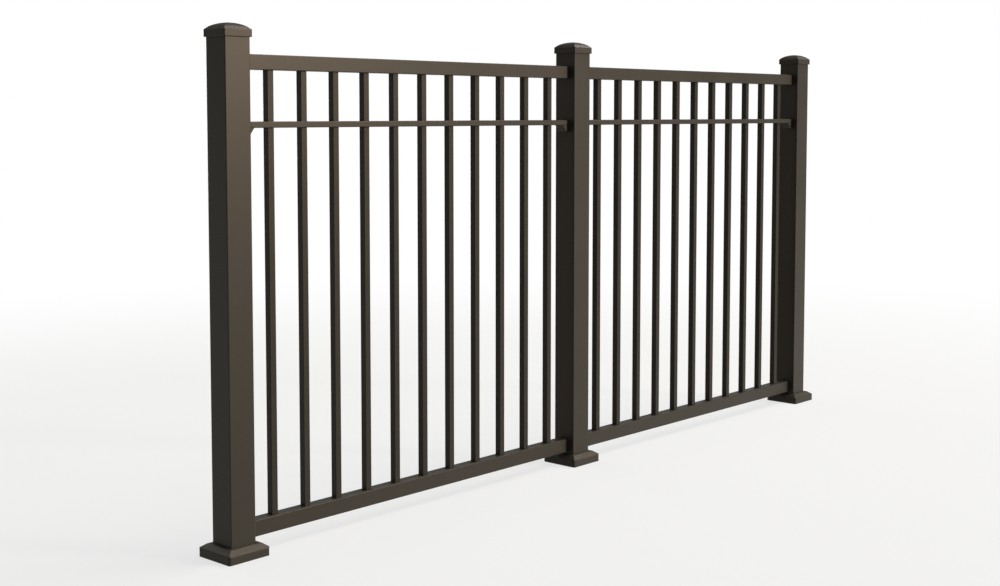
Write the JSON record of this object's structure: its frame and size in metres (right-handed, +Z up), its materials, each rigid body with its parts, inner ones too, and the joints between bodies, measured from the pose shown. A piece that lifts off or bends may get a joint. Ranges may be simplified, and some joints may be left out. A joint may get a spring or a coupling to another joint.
{
  "type": "aluminium fence panel",
  "caption": "Straight aluminium fence panel with square posts, domed post caps, base skirts, top, mid and bottom rails and square balusters, for bolting to a deck or slab.",
  "frame": {"origin": "centre of the underside of the middle post's base plate, on the ground", "axes": "+X along the fence, +Y through it from the front to the back, +Z up"},
  "size_m": [2.786, 0.1262, 1.3262],
  "materials": {
    "extrusion_coat": "dark bronze powder coat, satin, on extruded tube",
    "casting_coat": "dark bronze powder coat, satin, on cast covers and brackets",
    "plate_coat": "dark bronze powder coat, satin, on rolled plate"
  },
  "bodies": {
    "root": {"left_base_plate": "plate_coat", "left_post": "extrusion_coat", "left_base_skirt": "casting_coat", "left_post_cap": "casting_coat", "middle_base_plate": "plate_coat", "middle_post": "extrusion_coat", "middle_base_skirt": "casting_coat", "middle_post_cap": "casting_coat", "right_base_plate": "plate_coat", "right_post": "extrusion_coat", "right_base_skirt": "casting_coat", "right_post_cap": "casting_coat", "left_bottom_rail": "extrusion_coat", "left_mid_rail": "extrusion_coat", "left_top_rail": "extrusion_coat", "left_balusters": "extrusion_coat", "left_mid_bracket_start": "casting_coat", "left_mid_bracket_end": "casting_coat", "right_bottom_rail": "extrusion_coat", "right_mid_rail": "extrusion_coat", "right_top_rail": "extrusion_coat", "right_balusters": "extrusion_coat", "right_mid_bracket_start": "casting_coat", "right_mid_bracket_end": "casting_coat"}
  },
  "joints": []
}
